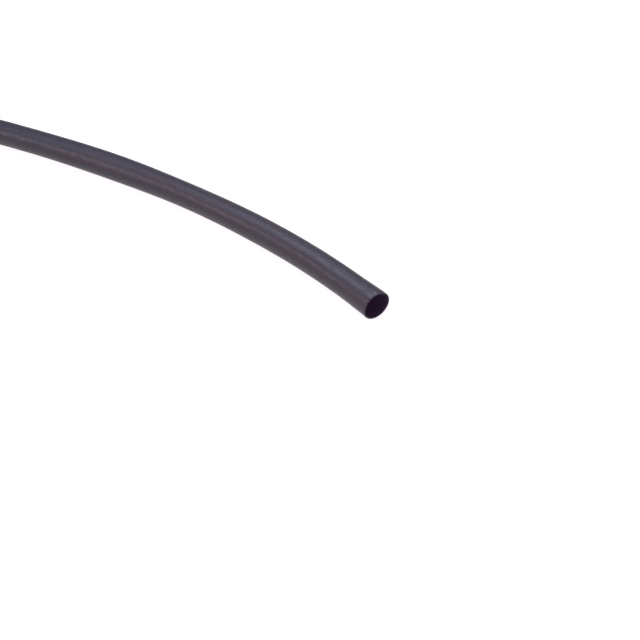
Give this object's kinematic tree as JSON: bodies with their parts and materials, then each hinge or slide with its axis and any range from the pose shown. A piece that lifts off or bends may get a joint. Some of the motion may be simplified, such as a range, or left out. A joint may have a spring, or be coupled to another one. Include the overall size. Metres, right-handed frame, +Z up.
{
  "type": "heat shrink tube",
  "caption": "Plain black heat shrink tube: a thin-walled, open-ended round sleeve with a gentle curl, slid over wires or a joint and shrunk on with heat.",
  "frame": {"origin": "middle of the footprint, at the height of the floor that the tube lies on", "axes": "+X along the tube at its front end, pointing out of it; +Z up from the floor; +Y towards the outer side of the curl"},
  "size_m": [0.1464, 0.0492, 0.0072],
  "materials": {
    "tube": "satin black polyolefin"
  },
  "bodies": {
    "root": {"heat_shrink_tube": "tube"}
  },
  "joints": []
}
